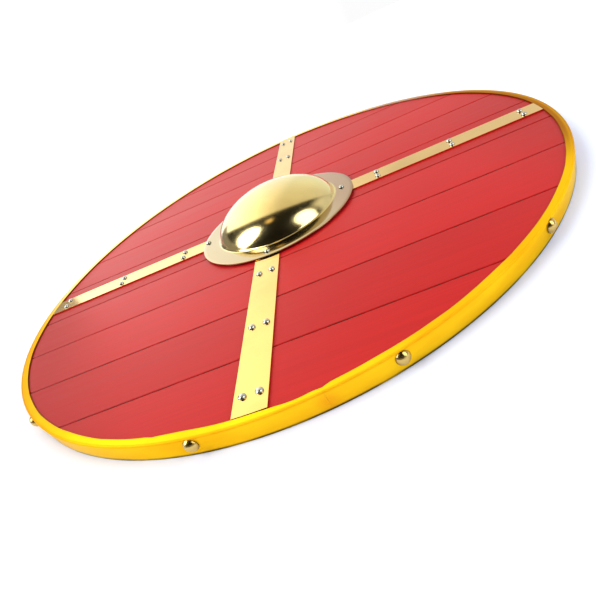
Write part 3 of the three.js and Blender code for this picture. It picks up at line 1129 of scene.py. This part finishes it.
@dataclass
class RimBand(SubAssembly):
    """A sheet channel bent round the board, with a lip, a hem and one butted seam."""

    radius: float = RIM_RADIUS
    height: float = 17 * MM
    sheet: float = 1.4 * MM
    lip_width: float = 7 * MM
    lip_steady: float = 3.4 * MM
    hem_width: float = 5 * MM
    corner: float = 1.2 * MM
    lip_droop: float = 0.36 * MM
    hem_corner: float = 0.8 * MM
    seam_angle: float = -81.7
    seam_gap: float = 0.014
    lip_marks: tuple = ((1.3, -101, 5), (-2.2, -85, 3), (-0.9, -105.5, 0.8), (-1.5, seam_angle, 0.45))
    strap_ends: tuple[float, ...] = (0, 89.1, 180, -91.3)
    steps: int = 300
    slot: Slot = field(init=False, default=Slot.RIM)

    def __post_init__(self) -> None:
        """Sets the finish."""
        middle = self.radius - self.lip_width / 2
        self.material = GoldenYellowBand(self.radius, middle, self.height, self.seam_angle).build()

    def profile(self) -> list[tuple[float, float]]:
        """The channel's section, with a round outer corner and softened edges."""
        outer, top = self.radius, self.height
        wall = outer - self.sheet
        lip = outer - self.lip_width
        hem = outer - self.hem_width
        shoulder = [
            (outer - self.corner * (1 - math.sin(turn)), top - self.corner * (1 - math.cos(turn)))
            for turn in (math.radians(15 * step) for step in range(7))
        ]
        edge = 0.35 * MM
        flat = self.lip_width - self.corner
        crown = [
            (outer - self.corner - flat * share, top - self.lip_droop * share**2)
            for share in (0.93, 0.75, 0.5, 0.25)
        ]
        return [
            (lip, top - self.sheet + edge * 0.4),
            (lip, top - self.lip_droop - edge),
            (lip + edge * 0.3, top - self.lip_droop - edge * 0.3),
            *crown,
            *shoulder,
            (outer, self.height * 0.62),
            (outer, self.height * 0.32),
            (outer, self.hem_corner),
            (outer - self.hem_corner * 0.3, self.hem_corner * 0.3),
            (outer - self.hem_corner, 0),
            (hem, 0),
            (hem, self.sheet),
            (wall - edge, self.sheet),
            (wall, self.sheet + edge),
            (wall, top - self.sheet - edge),
            (wall - edge, top - self.sheet),
            (lip + 0.2 * MM, top - self.sheet),
        ]

    def lip_run(self, angle: float) -> float:
        """How far the lip's inner edge strays inward at an angle in degrees, in metres.

        Args:
            angle: The angle round the rim.

        Returns:
            The small waves of the whole edge and the marks that the photo shows, each of which has a
            depth in millimetres, an angle and a width in degrees.
        """
        turn = Vector((math.cos(math.radians(angle)), math.sin(math.radians(angle)), 0))
        apart = min(abs((angle - end + 180) % 360 - 180) for end in self.strap_ends)
        free = max(0, min(1, (apart - 3) / 3))
        stray = free * (0.5 * wander(turn, 0.16, 3.0) + 0.25 * wander(turn, 0.05, 4.0))
        marks = (depth * math.exp(-(((angle - at) / width) ** 2)) for depth, at, width in self.lip_marks)
        return (stray + sum(marks)) * MM

    def uneven(self, place: Vector) -> Vector:
        """Lets the lip's edge stray and the wall and lip ripple as bent sheet does."""
        radius = place.xy.length
        angle = math.degrees(math.atan2(place.y, place.x))
        out = place.xy.normalized()
        is_lip = place.z > self.height - self.sheet - 0.1 * MM and radius < self.radius - 0.1 * MM
        if is_lip:
            reach = self.lip_width - self.lip_steady
            share = max(0, min(1, (self.radius - self.lip_steady - radius) / reach))
            radius -= share * self.lip_run(angle)
        turn = Vector((out.x, out.y, 0))
        ripple = wander(turn, 0.09, 11.0) + 0.5 * wander(turn, 0.03, 12.0)
        belly = math.sin(math.pi * max(0, min(1, place.z / self.height)))
        radius -= 0.16 * MM * (1 + ripple) * belly * (0 if is_lip else 1)
        height = place.z
        if is_lip:
            sag = max(0, min(1, (self.radius - self.corner - radius) / (self.lip_width - self.corner)))
            height -= 0.1 * MM * sag * (1 + ripple)
        return Vector((out.x * radius, out.y * radius, height))

    def build(self, bores: bpy.types.Object) -> None:
        """Spins the channel from one side of the seam round to the other, and drills it.

        Args:
            bores: The solid that cuts the nail holes.
        """
        band = Bench.outline("rim_band_dressed", self.profile(), closed=True)
        Bench.turn(band, self.steps, self.seam_angle + self.seam_gap / 2, 360 - self.seam_gap)
        Bench.warp(band, self.uneven)
        Bench.carve(band, bores, Carve.CUT)
        Bench.smooth(band, 40)
        self.hand_over(band, "rim_band")


@dataclass
class Straps(SubAssembly):
    """Four strips of rolled brass from under the boss to the rim."""

    thickness: float = 1.2 * MM
    settle_down: float = 0.15 * MM
    edge_round: float = 0.3 * MM
    cuts: int = 46
    start: float = 65.5 * MM
    end: float = 297.7 * MM
    width: float = 26 * MM
    back: float = 15.6 * MM
    lean: dict = field(default_factory=lambda: {Side.FAR: -1.7})
    drift: dict = field(default_factory=lambda: {Side.FAR: 4 * MM, Side.NEAR: -6.8 * MM})
    slot: Slot = field(init=False, default=Slot.STRAP)

    def __post_init__(self) -> None:
        """Sets the finish."""
        self.material = RolledBrass().build()

    def strap(self, side: Side, reach: bpy.types.Object) -> bpy.types.Object:
        """Makes one strap, bevelled all round, with the slight waves of hand-laid strip.

        Args:
            side: Where the strap points.
            reach: The post that it is cut round to, where it meets the lip.

        Returns:
            The strap, not yet drilled.
        """
        drift = self.drift.get(side, 0)
        low = Vector((self.start, drift - self.width / 2, self.back - self.settle_down))
        high = Vector((self.end + 5 * MM, drift + self.width / 2, self.back + self.thickness))
        strap = Bench.bar(f"strap_{side.word}_dressed", low, high)
        Bench.work(strap, Pick.EDGES, lengthwise, bpy.ops.mesh.subdivide, number_cuts=self.cuts)
        Bench.carve(strap, reach, Carve.KEEP_SHARED)
        Bench.soften(strap, self.edge_round)
        seed = side.value / 50

        def uneven(place: Vector) -> Vector:
            """Waves the strip a little up and down and sideways."""
            edge = 1 if place.y > drift else -1
            place.y += 0.12 * MM * wander(Vector((place.x, edge, 0)), 30 * MM, seed)
            wave = wander(Vector((place.x, 0, 0)), 55 * MM, seed + 2)
            crown = 1 - ((place.y - drift) / (self.width / 2)) ** 2
            place.z += 0.06 * MM * wave * max(0, crown) - 0.02 * MM
            return place

        Bench.warp(strap, uneven)
        turn = Matrix.Rotation(math.radians(side.value + self.lean.get(side, 0)), 4, "Z")
        Bench.warp(strap, lambda place: turn @ place)
        return strap

    def build(self, bores: bpy.types.Object) -> None:
        """Makes and drills the four straps.

        Args:
            bores: The solid that cuts the rivet holes.
        """
        reach = Bench.post("strap_reach", self.end, Vector(), UP * 40 * MM, 288)
        for side in Side:
            strap = self.strap(side, reach)
            Bench.carve(strap, bores, Carve.CUT)
            Bench.smooth(strap, 50)
            Bench.flatten_shading(strap)
            self.hand_over(strap, f"strap_{side.word}")
        Bench.discard(reach)


@dataclass
class Boss(SubAssembly):
    """A spun dome with a flat flange, over the hand hole."""

    flange_radius: float = 91.5 * MM
    dome_radius: float = 70.3 * MM
    rise: float = 32.7 * MM
    base_slope: float = 74
    sheet: float = 1.4 * MM
    fillet: float = 2.5 * MM
    flange_front: float = 18.5 * MM
    settle_down: float = 0.12 * MM
    dome_steps: int = 30
    steps: int = 144
    slot: Slot = field(init=False, default=Slot.BOSS)

    def __post_init__(self) -> None:
        """Sets the finish."""
        self.material = SpunBrass(self.dome_radius).build()

    def dome_point(self, angle: float) -> tuple[Vector, Vector]:
        """The dome's side, the upper part of an ellipse that meets the flange at the base slope.

        Args:
            angle: The angle round the ellipse in radians.

        Returns:
            The point and its outward normal, as radius and height.
        """
        steepness = self.dome_radius * math.tan(math.radians(self.base_slope))
        share = self.rise / (steepness - self.rise)
        half_height = self.rise / (1 - share)
        half_width = self.dome_radius / math.sqrt(1 - share**2)
        middle = self.flange_front - share * half_height
        point = Vector((half_width * math.cos(angle), middle + half_height * math.sin(angle)))
        out = Vector((half_height * math.cos(angle), half_width * math.sin(angle))).normalized()
        return point, out

    def fillet_angle(self) -> float:
        """The angle where the fillet runs into the dome without a crease, by halving."""
        low, high = 0.0, math.pi / 4
        for _ in range(40):
            angle = (low + high) / 2
            point, out = self.dome_point(angle)
            if point.y + self.fillet * out.y - self.flange_front > self.fillet:
                high = angle
            else:
                low = angle
        return low

    def face(self) -> list[tuple[Vector, Vector]]:
        """Points of the upper face and their normals, from the top to the flange's edge."""
        start = self.fillet_angle()
        run = [
            self.dome_point(math.pi / 2 + (start - math.pi / 2) * step / self.dome_steps)
            for step in range(self.dome_steps + 1)
        ]
        run[0] = (Vector((0, run[0][0].y)), Vector((0, 1)))
        point, out = self.dome_point(start)
        centre = point + out * self.fillet
        away = math.atan2(-out.y, -out.x) % (2 * math.pi)
        for step in range(1, 7):
            angle = away + (1.5 * math.pi - away) * step / 6
            ray = Vector((math.cos(angle), math.sin(angle)))
            run.append((centre + ray * self.fillet, -ray))
        inner = run[-1][0].x
        for share in (0.3, 0.55, 0.8):
            radius = inner + (self.flange_radius - inner) * share
            run.append((Vector((radius, self.flange_front)), Vector((0, 1))))
        return run

    def profile(self) -> list[tuple[float, float]]:
        """The sheet's whole section, with a softened edge on the flange."""
        face = self.face()
        upper = [point for point, _ in face]
        lower = [point - out * (self.sheet + self.settle_down) for point, out in reversed(face)]
        top, low = self.flange_front, self.flange_front - self.sheet - self.settle_down
        edge = 0.35 * MM
        lip = [
            Vector((self.flange_radius - edge, top)),
            Vector((self.flange_radius - edge * 0.3, top - edge * 0.3)),
            Vector((self.flange_radius, top - edge)),
            Vector((self.flange_radius, low + edge)),
            Vector((self.flange_radius - edge, low)),
        ]
        return [(point.x, point.y) for point in (*upper, *lip, *lower)]

    def uneven(self, place: Vector) -> Vector:
        """Lets the dome and the flange wave by a few hundredths of a millimetre."""
        radius = place.xy.length
        turn = Vector((place.x, place.y, 0))
        if radius > self.dome_radius + 3 * MM:
            share = (radius - self.dome_radius - 3 * MM) / (self.flange_radius - self.dome_radius)
            place.z -= 0.07 * MM * share * (1 + wander(turn, 55 * MM, 21.0))
        else:
            share = min(1, radius / self.dome_radius)
            place.z -= 0.12 * MM * (1 + wander(turn, 60 * MM, 22.0)) * math.sin(math.pi * share)
        return place

    def build(self, bores: bpy.types.Object) -> None:
        """Spins the sheet and drills it.

        Args:
            bores: The solid that cuts the rivet holes.
        """
        boss = Bench.outline("boss_dressed", self.profile(), closed=False)
        Bench.turn(boss, self.steps)
        Bench.warp(boss, self.uneven)
        Bench.carve(boss, bores, Carve.CUT)
        Bench.smooth(boss, 35)
        self.hand_over(boss, "boss")


@dataclass
class GripBar(SubAssembly):
    """A flat batten across the back with a rounded handle at the hand hole."""

    width: float = 30 * MM
    back: float = 1.4 * MM
    thickness: float = 3.6 * MM
    end: float = 292 * MM
    handle_depth: float = 17 * MM
    handle_reach: float = 55 * MM
    handle_slope: float = 12 * MM
    handle_round: float = 11 * MM
    shoulder_round: float = 2.5 * MM
    edge_round: float = 0.9 * MM
    slot: Slot = field(init=False, default=Slot.GRIP)

    def __post_init__(self) -> None:
        """Sets the finish."""
        self.material = OiledWood().build()

    def build(self, bores: bpy.types.Object) -> None:
        """Raises the handle from the batten, rounds it over and drills the bar.

        Args:
            bores: The solid that cuts the rivet holes.
        """
        front = self.back + self.thickness
        low = Vector((-self.width / 2, -self.end, self.back))
        high = Vector((self.width / 2, self.end, front))
        bar = Bench.bar("grip_bar_dressed", low, high)
        for place in (-self.handle_reach, self.handle_reach):
            plane = {"plane_co": (0, place, 0), "plane_no": (0, 1, 0)}
            Bench.work(bar, Pick.FACES, anywhere, bpy.ops.mesh.bisect, **plane)
        Bench.pick(bar, Pick.FACES, lambda middle, way: way.z > 0.9 and abs(middle.y) < self.handle_reach)
        raised = self.handle_depth - self.thickness
        bpy.ops.mesh.extrude_region_move(TRANSFORM_OT_translate={"value": (0, 0, raised)})
        shoulder = self.handle_reach - self.handle_slope
        bpy.ops.transform.resize(value=(1, shoulder / self.handle_reach, 1), center_override=(0, 0, 0))
        bpy.ops.object.mode_set(mode="OBJECT")

        def crown(middle: Vector, way: Vector) -> bool:
            """Picks the handle's two long upper edges."""
            return middle.z > front + raised * 0.9 and abs(way.y) > 0.9

        def brow(middle: Vector, way: Vector) -> bool:
            """Picks the edges across the handle where its slopes begin."""
            level = middle.z > front + 0.1 * MM and abs(way.y) < 0.5
            return level and abs(abs(middle.y) - shoulder) < 3 * MM

        bevel = bpy.ops.mesh.bevel
        Bench.work(bar, Pick.EDGES, crown, bevel, offset=self.handle_round, segments=10, clamp_overlap=True)
        Bench.work(bar, Pick.EDGES, brow, bevel, offset=self.shoulder_round, segments=4)
        Bench.carve(bar, bores, Carve.CUT)
        Bench.soften(bar, self.edge_round)
        Bench.smooth(bar, 35)
        self.hand_over(bar, "grip_bar")


@dataclass(frozen=True)
class Lamp:
    """A round light that faces the shield, with its size in degrees as the shield sees it."""

    name: str
    way: tuple[float, float, float]
    distance: float
    size: tuple[float, float]
    glow: float
    colour: tuple[float, float, float] = (1.0, 0.99, 0.97)
    mirrored: bool = True

    def build(self) -> None:
        """Adds the light, out of the camera's sight."""
        data = bpy.data.lights.new(self.name, "AREA")
        data.shape = "ELLIPSE"
        width, height = (2 * self.distance * math.tan(math.radians(part / 2)) for part in self.size)
        data.size = width
        data.size_y = height
        data.color = self.colour
        data.energy = self.glow * math.pi * math.pi * width * height / 4
        light = bpy.data.objects.new(self.name, data)
        bpy.context.collection.objects.link(light)
        way = Vector(self.way).normalized()
        light.location = way * self.distance
        light.rotation_euler = way.to_track_quat("Z", "Y").to_euler()
        light.visible_camera = False
        light.visible_glossy = self.mirrored


@dataclass
class Studio:
    """Pale floor, white surroundings on the far side, two softboxes and a dark room."""

    camera_place: tuple = (118.65 * MM, -505 * MM, 201.77 * MM)
    camera_right: tuple = (0.92846, -0.10244, -0.35704)
    camera_down: tuple = (-0.34076, -0.61747, -0.70896)
    lens: float = 27.99
    shift: tuple[float, float] = (-0.1046, 0.0678)
    side_places: tuple[float, float] = (-0.55, 0.05)
    side_glow: tuple[float, float] = (2.355, 0.975)
    sky: tuple = (
        (0.0, (1.0, 1.0, 1.0)),
        (0.03, (0.88, 0.88, 0.88)),
        (0.22, (0.86, 0.86, 0.85)),
        (0.45, (0.96, 0.92, 0.87)),
        (0.7, (0.97, 0.91, 0.76)),
        (0.95, (0.90, 0.80, 0.60)),
    )
    room_radius: float = 6.0
    room_plane: tuple = (0, 0.872, 0.489)
    room_edge: float = 3.924
    room_grey: float = 0.012
    room_fade: tuple = ((0, 3.72, 5.04), (1, -0.3, 1.2))
    room_foot: tuple = (40, 0.72, 2.28)
    card_radius: float = 2.4
    card_height: float = 0.86
    card_fade: float = 0.7
    card_start: float = 132.5
    card_sweep: float = 43.5
    card_grey: float = 0.4
    floor_radius: float = 1.6
    floor_drop: float = 0.05 * MM
    lamps: tuple = (
        Lamp("softbox_left", (-0.74, -0.17, 0.62), 4.5, (31, 52), 7.4),
        Lamp("softbox_right", (0.74, -0.36, 0.55), 4.5, (36, 54), 3.5),
        Lamp("lamp_above", (-0.18, -0.04, 0.98), 3.0, (9, 9), 1.3, (1.0, 0.7, 0.3)),
        Lamp("fill", (0, 0.1, 1), 3.5, (70, 70), 0.32, (0.84, 0.91, 1.0), mirrored=False),
        Lamp("cool_fill", (0.9, 0.1, 0.38), 3.5, (50, 30), 5.0, (0.3, 0.55, 1.0), mirrored=False),
    )

    def camera(self) -> None:
        """Sets the camera where the photograph was taken from."""
        data = bpy.data.cameras.new("camera")
        data.lens = self.lens
        data.sensor_width = 36
        data.sensor_fit = "HORIZONTAL"
        data.shift_x, data.shift_y = self.shift
        data.clip_start = 0.01
        data.clip_end = 100
        camera = bpy.data.objects.new("camera", data)
        bpy.context.collection.objects.link(camera)
        across, up = Vector(self.camera_right).normalized(), -Vector(self.camera_down).normalized()
        turn = Matrix((across, up, across.cross(up))).transposed().to_4x4()
        camera.matrix_world = Matrix.Translation(self.camera_place) @ turn
        bpy.context.scene.camera = camera

    def world(self) -> None:
        """Surrounds the studio with white light, dimmer near the ground and warmer overhead."""
        world = bpy.data.worlds.new("surround")
        world.use_nodes = True
        tree = world.node_tree
        way = tree.nodes.new("ShaderNodeTexCoord").outputs["Generated"]
        split = tree.nodes.new("ShaderNodeSeparateXYZ")
        tree.links.new(way, split.inputs[0])
        sky = tree.nodes.new("ShaderNodeValToRGB")
        for place, _ in self.sky[1:-1]:
            sky.color_ramp.elements.new(place)
        for stop, (place, colour) in zip(sky.color_ramp.elements, self.sky):
            stop.position = place
            stop.color = shade(*colour)
        tree.links.new(split.outputs[2], sky.inputs[0])
        fall = tree.nodes.new("ShaderNodeMapRange")
        sides = self.side_places + self.side_glow
        for key, value in zip(("From Min", "From Max", "To Min", "To Max"), sides):
            fall.inputs[key].default_value = value
        tree.links.new(split.outputs[0], fall.inputs["Value"])
        background = tree.nodes["Background"]
        tree.links.new(sky.outputs[0], background.inputs["Color"])
        tree.links.new(fall.outputs[0], background.inputs["Strength"])
        bpy.context.scene.world = world

    def dark_room(self) -> None:
        """Hangs a dark shell round the camera's side that opens towards the right."""
        Bench.clear()
        bpy.ops.mesh.primitive_uv_sphere_add(segments=96, ring_count=48, radius=self.room_radius)
        room = Bench.settle("dark_room")
        edge = Vector(self.room_plane) * self.room_edge
        plane = {"plane_co": edge, "plane_no": self.room_plane, "clear_outer": True}
        Bench.work(room, Pick.FACES, anywhere, bpy.ops.mesh.bisect, **plane)
        self.darken(room, self.room_grey, self.room_fade, self.room_foot)

    def dark_card(self) -> None:
        """Stands a dark card at the far left, low enough for the flat pieces to reflect it."""
        edge = [(self.card_radius, 0), (self.card_radius, self.card_height)]
        card = Bench.outline("dark_card", edge, closed=False)
        Bench.turn(card, 12, self.card_start, self.card_sweep)
        self.darken(card, self.card_grey, ((2, self.card_fade, self.card_height),))
        card.visible_diffuse = False
        card.visible_shadow = False

    def darken(
        self, screen: bpy.types.Object, grey: float, fade: tuple, foot: tuple = StudioSurface.foot
    ) -> None:
        """Makes a grey screen of a mesh, out of the camera's sight.

        Args:
            screen: The mesh.
            grey: How light its red part is.
            fade: Each axis with the places between which the screen turns clear.
            foot: How much lighter its foot is, and the heights between which the foot ends.
        """
        colour = shade(grey, grey * 0.9, grey * 0.75)
        screen.data.materials.append(StudioSurface(screen.name, colour, fade, foot).build())
        screen.visible_camera = False

    def floor(self) -> None:
        """Lays the pale floor just under the rim."""
        Bench.clear()
        bpy.ops.mesh.primitive_circle_add(
            vertices=96, radius=self.floor_radius, fill_type="NGON", location=(0, 0, -self.floor_drop)
        )
        floor = Bench.settle("floor")
        floor.data.materials.append(StudioSurface("pale_floor", shade(0.86, 0.89, 0.99)).build())

    def build(self) -> None:
        """Sets the whole studio."""
        self.camera()
        self.world()
        self.floor()
        self.dark_room()
        self.dark_card()
        for lamp in self.lamps:
            lamp.build()
        settings = bpy.context.scene.view_settings
        settings.view_transform = "Standard"
        settings.look = "None"


def main() -> None:
    """Builds the studio and every sub-assembly."""
    logging.basicConfig(level=logging.INFO, format="%(name)s: %(message)s")
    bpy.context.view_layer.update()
    Studio().build()
    rivets, nails = Rivets(), RimNails()
    rivet_bores, nail_bores = rivets.bores(), nails.bores()
    Board().build([rivet_bores, nail_bores])
    RimBand().build(nail_bores)
    Straps().build(rivet_bores)
    Boss().build(rivet_bores)
    GripBar().build(rivet_bores)
    rivets.build()
    nails.build()
    Bench.discard(rivet_bores, nail_bores)


if __name__ == "__main__":
    main()
